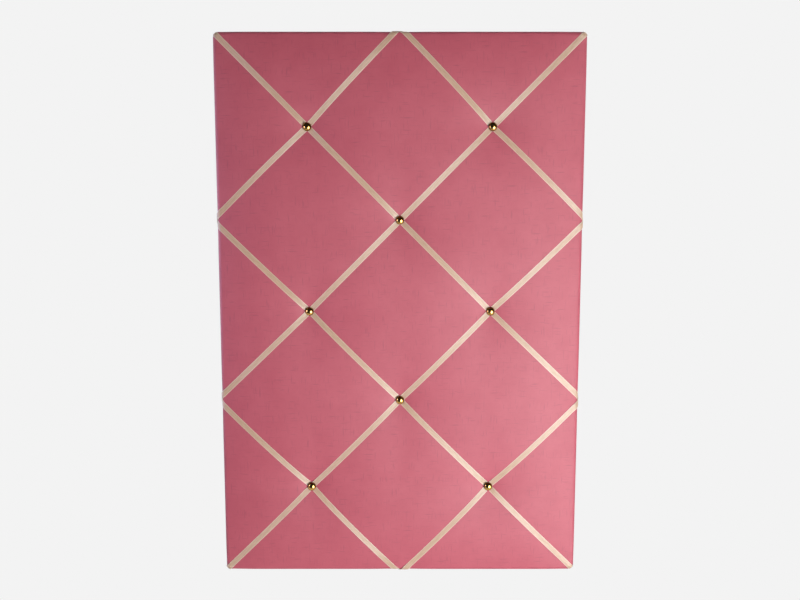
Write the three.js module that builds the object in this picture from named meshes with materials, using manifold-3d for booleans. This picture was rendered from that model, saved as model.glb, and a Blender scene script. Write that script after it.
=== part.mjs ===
// French memo board: a fibreboard panel padded with wadding, covered in cotton cloth that is
// turned over the back and stapled, and crossed by a lattice of satin ribbons. A domed brass
// nail holds the ribbons down at each crossing, and two D-ring hangers are screwed to the back.
//
// Millimetres. X runs to the right, the padded face looks along -Y and Z is up. The origin is
// the middle of the panel's bare back.

import * as THREE from 'three';
import { mergeVertices } from 'three/addons/utils/BufferGeometryUtils.js';
import Module from 'manifold-3d';

const wasm = await Module();
wasm.setup();

// Driving dimensions

// The finished board, measured over its cloth
const boardWidth = 400;
const boardHeight = 600;
const cornerRadius = 6;

// The ribbon lattice: a diamond is two of these steps wide and two high
const halfDiamondsAcross = 4;
const halfDiamondsUp = 6;

// The fibreboard panel
const panelThickness = 9;

// The wadding: its loft in the middle of a diamond, at the board's edge and at a nail
const crownLoft = 13;
const edgeLoft = 4.5;
const edgeReach = 14;
const nailDip = 7.5;
const nailDipReach = 25;
const channelDepth = 0.8;
const channelReach = 14;

// The cotton cover and the hem that it turns over the back
const clothThickness = 0.6;
const hemWidth = 30;

// The satin ribbons and the tails that they turn over the back
const ribbonWidth = 6;
const ribbonThickness = 0.4;
const tailReach = 21;

// The domed nails
const nailHeadDiameter = 9.5;
const nailHeadHeight = 3.8;
const nailSheet = 0.5;
const nailShankDiameter = 1.5;
const nailTipCover = 1;
const nailPointLength = 3;

// The D-ring hangers: strap, ring and screw
const strapWidth = 10;
const strapLength = 32;
const strapThickness = 1.2;
const strapCurlEnd = 100;
const hangerInset = 70;
const hangerDrop = 65;
const ringWire = 2.2;
const ringReach = 15;
const ringCorner = 3;
const ringEndGap = 0.4;
const screwHeadDiameter = 7;
const screwHeadHeight = 2.2;
const screwShankDiameter = 3;
const screwTipCover = 1.5;
const screwPointLength = 2.5;
const screwSlotWidth = 0.9;
const screwSlotLength = 3.6;
const screwSlotDepth = 1.1;

// The wire staples
const stapleWire = 0.8;
const stapleLeg = 6;
const stapleInset = 12;

// Clearances
const softGap = 0.3;
const ribbonGap = 0.2;
const ringGap = 0.3;
const ringSideGap = 1;
const holeGap = 0.3;
const stapleGap = 0.2;
const foldLap = 1;
const cutOverrun = 20;

// Derived sizes

const pitchX = boardWidth / halfDiamondsAcross;
const pitchZ = boardHeight / halfDiamondsUp;
const edgeU = halfDiamondsAcross / 2;
const edgeV = halfDiamondsUp / 2;
const halfWidth = boardWidth / 2;
const halfHeight = boardHeight / 2;

// How far the cover's faces stand out from the wadding's
const coverInside = softGap;
const coverOutside = softGap + clothThickness;
const padHalfWidth = halfWidth - coverOutside;
const padHalfHeight = halfHeight - coverOutside;
const frontEdgeY = -panelThickness - edgeLoft;
const farFrontY = -panelThickness - crownLoft - cutOverrun;

// The inner face of a ribbon above the cover: falling ribbons lie below rising ones
const fallingLift = ribbonGap;
const risingLift = fallingLift + ribbonThickness + ribbonGap;
const nailStack = coverOutside + risingLift + ribbonThickness + ribbonGap;

const nailHeadRadius = nailHeadDiameter / 2;
const nailShankRadius = nailShankDiameter / 2;
const ringRadius = ringWire / 2;
const eyeInside = ringRadius + ringGap;
const eyeOutside = eyeInside + strapThickness;
const ringHalfWidth = strapWidth / 2 + ringSideGap + ringCorner;
const screwDrop = strapLength - strapWidth / 2;
const screwLength = strapThickness + panelThickness - screwTipCover;
const stapleInside = ribbonWidth + 2 * holeGap;
const stapleCrown = stapleInside + 2 * stapleWire;

// Solids and cuts

function solidOf(geometry) {
  const bare = geometry.clone();
  bare.deleteAttribute('normal');
  bare.deleteAttribute('uv');
  const merged = mergeVertices(bare);
  return new wasm.Manifold(new wasm.Mesh({
    numProp: 3,
    vertProperties: new Float32Array(merged.attributes.position.array),
    triVerts: new Uint32Array(merged.index.array),
  }));
}

function geometryOf(solid) {
  const { vertProperties, triVerts } = solid.getMesh();
  const geometry = new THREE.BufferGeometry();
  geometry.setAttribute('position', new THREE.BufferAttribute(vertProperties, 3));
  geometry.setIndex(new THREE.BufferAttribute(triVerts, 1));
  geometry.computeVertexNormals();
  return geometry;
}

function meshGeometry(positions, triangles) {
  const geometry = new THREE.BufferGeometry();
  geometry.setAttribute('position', new THREE.Float32BufferAttribute(positions, 3));
  geometry.setIndex(triangles);
  return geometry;
}

// An outline drawn in X and Z, given thickness from y0 to y1
function plate(shape, y0, y1, curveSegments = 6) {
  const geometry = new THREE.ExtrudeGeometry(shape, {
    depth: y1 - y0, bevelEnabled: false, curveSegments,
  });
  return solidOf(geometry.rotateX(Math.PI / 2).translate(0, y1, 0));
}

function block(x0, x1, y0, y1, z0, z1) {
  const geometry = new THREE.BoxGeometry(x1 - x0, y1 - y0, z1 - z0);
  return solidOf(geometry.translate((x0 + x1) / 2, (y0 + y1) / 2, (z0 + z1) / 2));
}

// A round hole along Y
function drill(radius, x, z, y0, y1, sides = 6) {
  const geometry = new THREE.CylinderGeometry(radius, radius, y1 - y0, sides);
  return solidOf(geometry.translate(x, (y0 + y1) / 2, z));
}

// A prism on a flat convex outline, swept along a vector
function prism(outline, sweep) {
  const [first, second, third] = outline;
  const normal = second.clone().sub(first).cross(third.clone().sub(first));
  const ring = normal.dot(sweep) > 0 ? [...outline].reverse() : outline;
  const count = ring.length;
  const positions = [...ring, ...ring.map((point) => point.clone().add(sweep))]
    .flatMap((point) => point.toArray());
  const triangles = [];
  for (let i = 0; i < count; i += 1) {
    const next = (i + 1) % count;
    triangles.push(i, count + i, next, next, count + i, count + next);
  }
  for (let i = 1; i < count - 1; i += 1) {
    triangles.push(0, i, i + 1, count, count + i + 1, count + i);
  }
  return solidOf(meshGeometry(positions, triangles));
}

function roundedRectangle(halfX, halfZ, radius) {
  const shape = new THREE.Shape();
  shape.moveTo(halfX, radius - halfZ);
  shape.absarc(halfX - radius, halfZ - radius, radius, 0, Math.PI / 2);
  shape.absarc(radius - halfX, halfZ - radius, radius, Math.PI / 2, Math.PI);
  shape.absarc(radius - halfX, radius - halfZ, radius, Math.PI, 1.5 * Math.PI);
  shape.absarc(halfX - radius, radius - halfZ, radius, 1.5 * Math.PI, 2 * Math.PI);
  return shape;
}

// The lattice: nails at the inner crossings, in steps of half a diamond from the middle

const latticeParity = Math.abs(edgeU + edgeV) % 2;

function latticePoint(u, v) {
  return new THREE.Vector2(u * pitchX, v * pitchZ);
}

const nailPlaces = [];
for (let v = Math.ceil(edgeV) - 1; v > -edgeV; v -= 1) {
  for (let u = 1 - Math.ceil(edgeU); u < edgeU; u += 1) {
    if (Math.abs(u + v) % 2 === latticeParity) {
      nailPlaces.push(latticePoint(u, v));
    }
  }
}

// How far a lattice line's number is from the nearest ribbon's, from 0 to 1
function offRibbon(line) {
  const turn = Math.abs(line - latticeParity) % 2;
  return Math.min(turn, 2 - turn);
}

function nearestRibbonFalls(x, z) {
  return offRibbon(x / pitchX + z / pitchZ) < offRibbon(z / pitchZ - x / pitchX);
}

function ribbonDistance(x, z) {
  const falling = offRibbon(x / pitchX + z / pitchZ);
  const rising = offRibbon(z / pitchZ - x / pitchX);
  return Math.min(falling, rising) / Math.hypot(1 / pitchX, 1 / pitchZ);
}

// The padded face

// The wadding's loft: full between the ribbons, drawn down at the nails and thin at the edge
function padLoft(x, z, edgeDistance) {
  const rise = 1 - Math.exp(-edgeDistance / edgeReach);
  let drawnDown = channelDepth * Math.exp(-((ribbonDistance(x, z) / channelReach) ** 2));
  for (const nail of nailPlaces) {
    const distance = Math.hypot(x - nail.x, z - nail.y);
    drawnDown += nailDip * Math.exp(-distance / nailDipReach);
  }
  return edgeLoft + rise * (crownLoft - edgeLoft - drawnDown);
}

// The board's corners are rounded in this many facets, in its panel and its padding alike
const cornerFacets = 2;

// Grid lines on the face: at the nails, a quarter step either side of them, and at the edges
function gridLines(half, pitch, steps) {
  const lines = [-half, cornerRadius - half];
  for (let quarter = 1; quarter < 4 * steps; quarter += 1) {
    if (quarter % 4 !== 2) {
      lines.push((quarter / 4 - steps / 2) * pitch);
    }
  }
  lines.push(half - cornerRadius, half);
  return lines;
}

// The padded board's outer form, grown all round from the wadding and closed at a flat back.
// Each cell of the face is split along the ribbon that crosses it.
function paddedForm(grow, backY) {
  const halfX = padHalfWidth + grow;
  const halfZ = padHalfHeight + grow;
  const columns = gridLines(halfX, pitchX, halfDiamondsAcross);
  const rows = gridLines(halfZ, pitchZ, halfDiamondsUp);
  const lastColumn = columns.length - 1;
  const lastRow = rows.length - 1;
  const cornerDraw = cornerRadius * (1 - Math.SQRT1_2);
  const positions = [];
  rows.forEach((rowZ, row) => {
    columns.forEach((columnX, column) => {
      const onSide = column === 0 || column === lastColumn;
      const onEnd = row === 0 || row === lastRow;
      const draw = onSide && onEnd ? cornerDraw : 0;
      const x = columnX - Math.sign(columnX) * draw;
      const z = rowZ - Math.sign(rowZ) * draw;
      const edgeDistance = Math.min(halfX - Math.abs(x), halfZ - Math.abs(z));
      const loft = onSide || onEnd ? edgeLoft : padLoft(x, z, edgeDistance);
      positions.push(x, -panelThickness - loft - grow, z);
    });
  });
  const at = (column, row) => row * columns.length + column;
  const triangles = [];
  for (let row = 0; row < lastRow; row += 1) {
    for (let column = 0; column < lastColumn; column += 1) {
      const corners = [
        at(column, row), at(column + 1, row), at(column + 1, row + 1), at(column, row + 1),
      ];
      const middleX = (columns[column] + columns[column + 1]) / 2;
      const middleZ = (rows[row] + rows[row + 1]) / 2;
      const [a, b, c, d] = nearestRibbonFalls(middleX, middleZ)
        ? corners
        : [...corners.slice(1), corners[0]];
      triangles.push(a, b, d, b, c, d);
    }
  }
  const rim = [];
  for (let column = 0; column < lastColumn; column += 1) {
    rim.push(at(column, 0));
  }
  for (let row = 0; row < lastRow; row += 1) {
    rim.push(at(lastColumn, row));
  }
  for (let column = lastColumn; column > 0; column -= 1) {
    rim.push(at(column, lastRow));
  }
  for (let row = lastRow; row > 0; row -= 1) {
    rim.push(at(0, row));
  }
  const backRim = positions.length / 3;
  const backMiddle = backRim + rim.length;
  for (const vertex of rim) {
    positions.push(positions[3 * vertex], backY, positions[3 * vertex + 2]);
  }
  positions.push(0, backY, 0);
  rim.forEach((vertex, i) => {
    const next = (i + 1) % rim.length;
    triangles.push(vertex, backRim + i, rim[next], rim[next], backRim + i, backRim + next);
    triangles.push(backRim + i, backMiddle, backRim + next);
  });
  return solidOf(meshGeometry(positions, triangles));
}

// The panel is sawn to a rectangle, ruled into the lattice's steps, and rounded at its corners
function panelBlank() {
  const sawn = new THREE.BoxGeometry(
    2 * padHalfWidth, panelThickness, 2 * padHalfHeight, halfDiamondsAcross, 1, halfDiamondsUp,
  );
  const outline = roundedRectangle(padHalfWidth, padHalfHeight, cornerRadius);
  return solidOf(sawn.translate(0, -panelThickness / 2, 0))
    .intersect(plate(outline, -panelThickness - cutOverrun, cutOverrun, cornerFacets / 2));
}

// Ribbons

// The plan of a ribbon laid along a run of points, cut off beyond both ends
function stripShape(run, width) {
  const points = [...run];
  const last = points.length - 1;
  const startAway = points[0].clone().sub(points[1]).setLength(cutOverrun);
  const endAway = points[last].clone().sub(points[last - 1]).setLength(cutOverrun);
  points.unshift(points[0].clone().add(startAway));
  points.push(points[points.length - 1].clone().add(endAway));
  const left = [];
  const right = [];
  points.forEach((point, i) => {
    const before = points[Math.max(i - 1, 0)];
    const after = points[Math.min(i + 1, points.length - 1)];
    const along = after.clone().sub(before).normalize();
    const across = new THREE.Vector2(-along.y, along.x).multiplyScalar(width / 2);
    left.push(point.clone().add(across));
    right.unshift(point.clone().sub(across));
  });
  return new THREE.Shape([...left, ...right]);
}

// A ribbon's run from edge to edge through its nails. Line is its number in the lattice, and
// slope is -1 where it falls to the right and 1 where it rises. Where two ribbons meet in a V
// at an edge, each is set over by half its own cut, so that they meet side by side.
function ribbonRun(line, slope) {
  const uStart = Math.max(-edgeU, slope > 0 ? -edgeV - line : line - edgeV);
  const uEnd = Math.min(edgeU, slope > 0 ? edgeV - line : line + edgeV);
  const run = [];
  for (let u = uStart; u <= uEnd; u += 1) {
    run.push(latticePoint(u, line + slope * u));
  }
  const setOver = (end, inner) => {
    const onSide = Math.abs(end.x) > halfWidth - softGap;
    const onEnd = Math.abs(end.y) > halfHeight - softGap;
    const steepness = pitchZ / pitchX;
    if (onSide && !onEnd) {
      const cut = (ribbonWidth / 2) * Math.hypot(1, steepness);
      end.y += Math.sign(inner.y - end.y) * cut;
    }
    if (onEnd && !onSide) {
      const cut = (ribbonWidth / 2) * Math.hypot(1, 1 / steepness);
      end.x += Math.sign(inner.x - end.x) * cut;
    }
    end.isCorner = onSide && onEnd;
    end.onSide = onSide;
  };
  setOver(run[0], run[1]);
  setOver(run[run.length - 1], run[run.length - 2]);
  return run;
}

// The end of a ribbon that folds over a straight edge: across the board's side and on over the
// hem at the angle at which it came, as a taut ribbon does. Gives its solid and its staple.
function foldedTail(end, inner, lift) {
  const step = end.clone().sub(inner);
  const [out, along] = end.onSide ? [step.x, step.y] : [step.y, step.x];
  const side = Math.sign(out);
  const drift = along / Math.abs(out);
  const halfCut = (ribbonWidth / 2) * Math.hypot(1, drift);
  const edge = end.onSide ? halfWidth : halfHeight;
  const start = end.onSide ? end.y : end.x;
  const place = (outward, y, sideways) => (end.onSide
    ? new THREE.Vector3(side * outward, y, sideways)
    : new THREE.Vector3(sideways, y, side * outward));
  const inside = edge + lift;
  const outside = inside + ribbonThickness;
  const backInside = clothThickness + lift;
  const backOutside = backInside + ribbonThickness;
  const turn = start + drift * (backOutside - frontEdgeY);
  const tailAt = (outward) => turn + drift * (outside - outward);
  const onSideFace = prism([
    place(inside, frontEdgeY, start - halfCut),
    place(inside, backOutside, turn - halfCut),
    place(inside, backOutside, turn + halfCut),
    place(inside, frontEdgeY, start + halfCut),
  ], place(ribbonThickness, 0, 0));
  const tailEnd = edge - tailReach;
  const onHem = prism([
    place(outside, backInside, turn - halfCut),
    place(tailEnd, backInside, tailAt(tailEnd) - halfCut),
    place(tailEnd, backInside, tailAt(tailEnd) + halfCut),
    place(outside, backInside, turn + halfCut),
  ], new THREE.Vector3(0, ribbonThickness, 0));
  const staple = place(edge - stapleInset, backOutside, tailAt(edge - stapleInset));
  const heading = place(-1, 0, drift);
  return { solid: onSideFace.add(onHem), staple: stapleSpot(staple, heading) };
}

// The end of a ribbon that folds over a corner and comes straight back over the hem
function cornerTail(end, strip, shell, lift) {
  const side = Math.sign(end.x);
  const up = Math.sign(end.y);
  const square = block(0, tailReach + cutOverrun, farFrontY, cutOverrun,
    0, tailReach + cutOverrun);
  const shift = [
    end.x - (side > 0 ? tailReach : cutOverrun), 0, end.y - (up > 0 ? tailReach : cutOverrun),
  ];
  const solid = shell.intersect(strip).intersect(square.translate(shift));
  const backOutside = clothThickness + lift + ribbonThickness;
  const staple = new THREE.Vector3(
    end.x - side * stapleInset, backOutside, end.y - up * stapleInset * pitchZ / pitchX,
  );
  return { solid, staple: stapleSpot(staple, new THREE.Vector3(-side * pitchX, 0, -up * pitchZ)) };
}

// A staple sits on a surface with its crown across the heading
function stapleSpot(position, heading) {
  return { position, turn: Math.atan2(-heading.x, -heading.z) };
}

// A ribbon with its two tails and its nail holes
function ribbon(line, slope, lift) {
  const run = ribbonRun(line, slope);
  const shape = stripShape(run, ribbonWidth);
  const inside = coverOutside + lift;
  const outside = inside + ribbonThickness;
  const backInside = clothThickness + lift;
  const shell = paddedForm(outside, backInside + ribbonThickness)
    .subtract(paddedForm(inside, backInside));
  let solid = shell.intersect(plate(shape, farFrontY, frontEdgeY + foldLap));
  const staples = [];
  for (const [end, inner] of [[run[0], run[1]], [run.at(-1), run.at(-2)]]) {
    const tail = end.isCorner
      ? cornerTail(end, plate(shape, farFrontY, cutOverrun), shell, lift)
      : foldedTail(end, inner, lift);
    solid = solid.add(tail.solid);
    staples.push(tail.staple);
  }
  for (const nail of run.slice(1, -1)) {
    solid = solid.subtract(drill(nailShankRadius + holeGap, nail.x, nail.y, farFrontY, 0));
  }
  return { solid, staples };
}

// Staples

function stapleGeometry() {
  const outside = stapleCrown / 2;
  const inside = outside - stapleWire;
  const shape = new THREE.Shape();
  shape.moveTo(-outside, stapleWire);
  shape.lineTo(-outside, stapleWire - stapleLeg);
  shape.lineTo(-inside, stapleWire - stapleLeg);
  shape.lineTo(-inside, 0);
  shape.lineTo(inside, 0);
  shape.lineTo(inside, stapleWire - stapleLeg);
  shape.lineTo(outside, stapleWire - stapleLeg);
  shape.lineTo(outside, stapleWire);
  const geometry = new THREE.ExtrudeGeometry(shape, { depth: stapleWire, bevelEnabled: false });
  return geometry.translate(0, stapleGap, -stapleWire / 2);
}

// The two holes that a staple's legs make in what it fastens
function stapleHoles(spot) {
  const width = stapleWire + 2 * holeGap;
  const depth = stapleLeg + holeGap;
  const legX = (stapleCrown - stapleWire) / 2;
  return [-legX, legX].map((x) => {
    const leg = new THREE.BoxGeometry(width, depth, width);
    leg.translate(x, stapleWire + stapleGap - depth / 2, 0);
    leg.rotateY(spot.turn).translate(...spot.position.toArray());
    return solidOf(leg);
  });
}

// Staples along the hem, one at each lattice step
function hemStapleSpots() {
  const spots = [];
  const sideX = halfWidth - stapleInset;
  const endZ = halfHeight - stapleInset;
  const addSpot = (x, z, headingX, headingZ) => {
    const position = new THREE.Vector3(x, clothThickness, z);
    spots.push(stapleSpot(position, new THREE.Vector3(headingX, 0, headingZ)));
  };
  for (let v = 1 - Math.ceil(edgeV); v < edgeV; v += 1) {
    addSpot(-sideX, v * pitchZ, 1, 0);
    addSpot(sideX, v * pitchZ, 1, 0);
  }
  for (let u = 1 - Math.ceil(edgeU); u < edgeU; u += 1) {
    addSpot(u * pitchX, endZ, 0, 1);
    addSpot(u * pitchX, -endZ, 0, 1);
  }
  return spots;
}

// Domed nails

function nailGeometry(shankLength) {
  const arcSteps = 6;
  const insideRadius = nailHeadRadius - nailSheet;
  const insideHeight = nailHeadHeight - nailSheet;
  const profile = [];
  for (let i = 0; i <= arcSteps; i += 1) {
    const angle = (i / arcSteps) * Math.PI / 2;
    const point = [nailHeadRadius * Math.sin(angle), -nailHeadHeight * Math.cos(angle)];
    profile.push(new THREE.Vector2(...point));
  }
  const shankAngle = Math.asin(nailShankRadius / insideRadius);
  for (let i = arcSteps; i >= 0; i -= 2) {
    const angle = shankAngle + (i / arcSteps) * (Math.PI / 2 - shankAngle);
    const point = [insideRadius * Math.sin(angle), -insideHeight * Math.cos(angle)];
    profile.push(new THREE.Vector2(...point));
  }
  profile.push(new THREE.Vector2(nailShankRadius, shankLength - nailPointLength));
  profile.push(new THREE.Vector2(0, shankLength));
  return new THREE.LatheGeometry(profile, 14);
}

// Where a nail's rim rests: on the ribbons, clear of the cloth that rises round it
function nailSeatY(nail) {
  const loftAt = (x) => {
    const edgeDistance = Math.min(padHalfWidth - Math.abs(x), padHalfHeight - Math.abs(nail.y));
    return padLoft(x, nail.y, edgeDistance);
  };
  const loft = loftAt(nail.x);
  const step = pitchX / 4;
  const rise = Math.max(loftAt(nail.x + step), loftAt(nail.x - step)) - loft;
  return -panelThickness - loft - rise * nailHeadRadius / step - nailStack;
}

// D-ring hangers

// A strip of steel rolled round the ring's bar at the top, with a round end and a screw hole. Its
// curl ends so many degrees past the outer side of the bar.
function strapSolid() {
  const openEnd = -THREE.MathUtils.degToRad(strapCurlEnd);
  const profile = new THREE.Shape();
  profile.moveTo(0, -strapLength);
  profile.lineTo(0, 0);
  profile.absarc(eyeOutside, 0, eyeOutside, Math.PI, openEnd, true);
  profile.absarc(eyeOutside, 0, eyeInside, openEnd, Math.PI, false);
  profile.lineTo(strapThickness, -strapLength);
  const strip = new THREE.ExtrudeGeometry(profile, {
    depth: strapWidth, bevelEnabled: false, curveSegments: 6,
  });
  strip.translate(0, 0, -strapWidth / 2);
  strip.applyMatrix4(new THREE.Matrix4().makeBasis(
    new THREE.Vector3(0, 1, 0), new THREE.Vector3(0, 0, 1), new THREE.Vector3(1, 0, 0),
  ));
  const endRadius = strapWidth / 2;
  const plan = new THREE.Shape();
  plan.moveTo(endRadius, 2 * eyeOutside);
  plan.lineTo(-endRadius, 2 * eyeOutside);
  plan.absarc(0, -screwDrop, endRadius, Math.PI, 2 * Math.PI, false);
  const hole = drill(screwShankDiameter / 2 + holeGap, 0, -screwDrop, -holeGap,
    strapThickness + holeGap, 12);
  return solidOf(strip).intersect(plate(plan, -holeGap, 3 * eyeOutside)).subtract(hole);
}

// The ring's wire starts and ends inside the strap's eye, and hangs from it
class RingPath extends THREE.Curve {
  constructor() {
    super();
    const bar = ringHalfWidth - ringCorner;
    const bowCentre = ringHalfWidth - ringReach;
    this.outline = new THREE.Path();
    this.outline.moveTo(ringEndGap / 2, 0);
    this.outline.lineTo(bar, 0);
    this.outline.absarc(bar, -ringCorner, ringCorner, Math.PI / 2, 0, true);
    this.outline.absarc(0, bowCentre, ringHalfWidth, 0, -Math.PI, true);
    this.outline.absarc(-bar, -ringCorner, ringCorner, Math.PI, Math.PI / 2, true);
    this.outline.lineTo(-ringEndGap / 2, 0);
  }

  getPoint(t, target = new THREE.Vector3()) {
    const point = this.outline.getPoint(t);
    return target.set(point.x, 0, point.y);
  }
}

function ringGeometry() {
  const section = new THREE.Shape();
  section.absarc(0, 0, ringRadius, 0, 2 * Math.PI);
  return new THREE.ExtrudeGeometry(section, {
    steps: 44, extrudePath: new RingPath(), curveSegments: 4,
  });
}

// A pan-head wood screw, seated on the strap, with a cross recess
function screwSolid() {
  const headRadius = screwHeadDiameter / 2;
  const shankRadius = screwShankDiameter / 2;
  const rim = screwHeadHeight / 3;
  const profile = [
    new THREE.Vector2(0, -screwLength),
    new THREE.Vector2(shankRadius, screwPointLength - screwLength),
    new THREE.Vector2(shankRadius, 0),
    new THREE.Vector2(headRadius, 0),
  ];
  const arcSteps = 4;
  for (let i = 0; i <= arcSteps; i += 1) {
    const angle = (i / arcSteps) * Math.PI / 2;
    const height = rim + (screwHeadHeight - rim) * Math.sin(angle);
    profile.push(new THREE.Vector2(headRadius * Math.cos(angle), height));
  }
  profile[profile.length - 1].x = 0;
  const long = screwSlotLength / 2;
  const wide = screwSlotWidth / 2;
  const floor = screwHeadHeight - screwSlotDepth;
  const top = screwHeadHeight + holeGap;
  return solidOf(new THREE.LatheGeometry(profile, 16))
    .subtract(block(-long, long, floor, top, -wide, wide))
    .subtract(block(-wide, wide, floor, top, -long, long));
}

// Materials

const fibreboard = { color: 0xb1906a, roughness: 0.85, metalness: 0 };
const polyesterWadding = { color: 0xf1efe9, roughness: 1, metalness: 0 };
const pinkCotton = { color: 0xc4606f, roughness: 0.9, metalness: 0 };
const ivorySatin = { color: 0xe2d5c0, roughness: 0.45, metalness: 0 };
const polishedBrass = { color: 0xc79a45, roughness: 0.2, metalness: 1 };
const zincPlatedSteel = { color: 0xb9bcc0, roughness: 0.35, metalness: 1 };

// Assembly

const board = new THREE.Group();

function addPiece(name, geometry, finish, parent = board) {
  const mesh = new THREE.Mesh(geometry, new THREE.MeshStandardMaterial(finish));
  mesh.name = name;
  parent.add(mesh);
  return mesh;
}

// Ribbons come first, because their tails say where the staples go
const ribbons = [];
const lineLimit = edgeU + edgeV - 2;
for (let line = lineLimit; line >= -lineLimit; line -= 2) {
  const number = ribbons.length / 2 + 1;
  ribbons.push({ name: `ribbon_falling_${number}`, ...ribbon(line, -1, fallingLift) });
  ribbons.push({ name: `ribbon_rising_${number}`, ...ribbon(line, 1, risingLift) });
}
const tailStapleSpots = ribbons.flatMap((each) => each.staples);
const hemSpots = hemStapleSpots();

const hangers = [['left', -1], ['right', 1]].map(([name, side]) => ({
  name, x: side * (halfWidth - hangerInset), z: halfHeight - hangerDrop,
}));

let panel = panelBlank();
let wadding = paddedForm(0, -panelThickness);
let cover = paddedForm(coverOutside, clothThickness)
  .subtract(paddedForm(coverInside, 0))
  .subtract(block(
    hemWidth - halfWidth, halfWidth - hemWidth, -holeGap, clothThickness + holeGap,
    hemWidth - halfHeight, halfHeight - hemWidth,
  ));

for (const nail of nailPlaces) {
  const hole = drill(nailShankRadius + holeGap, nail.x, nail.y, farFrontY, holeGap);
  panel = panel.subtract(hole);
  wadding = wadding.subtract(hole);
  cover = cover.subtract(hole);
}
for (const spot of [...tailStapleSpots, ...hemSpots]) {
  for (const hole of stapleHoles(spot)) {
    panel = panel.subtract(hole);
    cover = cover.subtract(hole);
  }
}
for (const hanger of hangers) {
  panel = panel.subtract(drill(
    screwShankDiameter / 2 + holeGap, hanger.x, hanger.z - screwDrop,
    strapThickness - screwLength - holeGap, holeGap, 10,
  ));
}

addPiece('panel', geometryOf(panel), fibreboard);
addPiece('wadding', geometryOf(wadding), polyesterWadding);
addPiece('fabric_cover', geometryOf(cover), pinkCotton);
for (const each of ribbons) {
  addPiece(each.name, geometryOf(each.solid), ivorySatin);
}

nailPlaces.forEach((nail, i) => {
  const seatY = nailSeatY(nail);
  const mesh = addPiece(`stud_${i + 1}`, nailGeometry(-seatY - nailTipCover), polishedBrass);
  mesh.position.set(nail.x, seatY, nail.y);
});

for (const { name, x, z } of hangers) {
  const hanger = new THREE.Group();
  hanger.position.set(x, 0, z);
  board.add(hanger);
  addPiece(`hanger_strap_${name}`, geometryOf(strapSolid()), zincPlatedSteel, hanger);
  const ring = addPiece(`hanger_ring_${name}`, ringGeometry(), zincPlatedSteel, hanger);
  ring.position.y = eyeOutside;
  const screw = addPiece(`hanger_screw_${name}`, geometryOf(screwSolid()), zincPlatedSteel, hanger);
  screw.position.set(0, strapThickness, -screwDrop);
}

function addStaples(prefix, spots) {
  spots.forEach((spot, i) => {
    const name = `${prefix}_${String(i + 1).padStart(2, '0')}`;
    const staple = addPiece(name, stapleGeometry(), zincPlatedSteel);
    staple.position.copy(spot.position);
    staple.rotation.y = spot.turn;
  });
}
addStaples('tail_staple', tailStapleSpots);
addStaples('hem_staple', hemSpots);

export default board;
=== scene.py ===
import math

import bmesh
import bpy
import numpy as np
from mathutils import Matrix, Vector
from mathutils.bvhtree import BVHTree


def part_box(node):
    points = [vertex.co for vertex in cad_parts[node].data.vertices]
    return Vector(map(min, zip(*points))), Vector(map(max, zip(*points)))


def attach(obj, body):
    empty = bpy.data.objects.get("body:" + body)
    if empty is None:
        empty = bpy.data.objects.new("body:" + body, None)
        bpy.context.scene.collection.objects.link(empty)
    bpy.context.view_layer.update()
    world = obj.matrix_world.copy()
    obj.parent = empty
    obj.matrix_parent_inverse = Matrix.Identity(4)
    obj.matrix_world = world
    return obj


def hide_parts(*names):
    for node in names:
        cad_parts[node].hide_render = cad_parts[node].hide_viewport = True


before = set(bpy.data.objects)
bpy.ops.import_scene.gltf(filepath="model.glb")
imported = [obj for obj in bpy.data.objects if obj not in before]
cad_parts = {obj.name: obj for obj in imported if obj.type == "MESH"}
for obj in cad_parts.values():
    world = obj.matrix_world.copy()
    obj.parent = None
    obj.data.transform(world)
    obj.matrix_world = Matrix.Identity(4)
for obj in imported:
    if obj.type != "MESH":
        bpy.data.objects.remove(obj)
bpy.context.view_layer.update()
MM = 0.001

# Panel
# A sawn sheet of medium-density fibreboard that carries everything else: nails, staples and hanger
# screws are driven into it. Only its bare back shows, inside the hem.


def linear(hex_colour):
    """An sRGB hex colour as linear red, green, blue and alpha."""
    shares = [int(hex_colour[i:i + 2], 16) / 255 for i in (1, 3, 5)]
    return [c / 12.92 if c <= 0.04045 else ((c + 0.055) / 1.055) ** 2.4 for c in shares] + [1]


def new_material(name):
    material = bpy.data.materials.new(name)
    material.use_nodes = True
    material.node_tree.nodes.clear()
    return material


def add_node(material, kind, inputs, **settings):
    """Adds a node with its settings. Each input is a value, or the output that feeds it."""
    tree = material.node_tree
    node = tree.nodes.new(kind)
    for name, value in settings.items():
        setattr(node, name, value)
    for name, value in inputs.items():
        if isinstance(value, bpy.types.NodeSocket):
            tree.links.new(value, node.inputs[name])
        else:
            node.inputs[name].default_value = value
    return node


# Pressed wood fibre: a flat tan ground with short pale and dark fibres, and broad faint blotches
# where the sheet was sanded. Dull all over.
fibreboard = new_material("medium_density_fibreboard")
FIBRE_SIZE = 1.1 * MM
BLOTCH_SIZE = 45 * MM
place = add_node(fibreboard, "ShaderNodeTexCoord", {})
fibres = add_node(fibreboard, "ShaderNodeTexNoise", {
    "Vector": place.outputs["Object"], "Scale": 1 / FIBRE_SIZE, "Detail": 4, "Roughness": 0.7})
blotches = add_node(fibreboard, "ShaderNodeTexNoise", {
    "Vector": place.outputs["Object"], "Scale": 1 / BLOTCH_SIZE, "Detail": 3})
fibre_share = add_node(fibreboard, "ShaderNodeMapRange", {
    "Value": fibres.outputs["Fac"], "From Min": 0.3, "From Max": 0.7})
ground = add_node(fibreboard, "ShaderNodeMix", {
    0: blotches.outputs["Fac"], 6: linear("#A58560"), 7: linear("#BC9C76")}, data_type="RGBA")
speckled = add_node(fibreboard, "ShaderNodeMix", {
    0: fibre_share.outputs["Result"], 6: linear("#86684A"), 7: ground.outputs[2]}, data_type="RGBA")
relief = add_node(fibreboard, "ShaderNodeBump", {
    "Height": fibres.outputs["Fac"], "Strength": 0.35, "Distance": 0.15 * MM})
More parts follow.
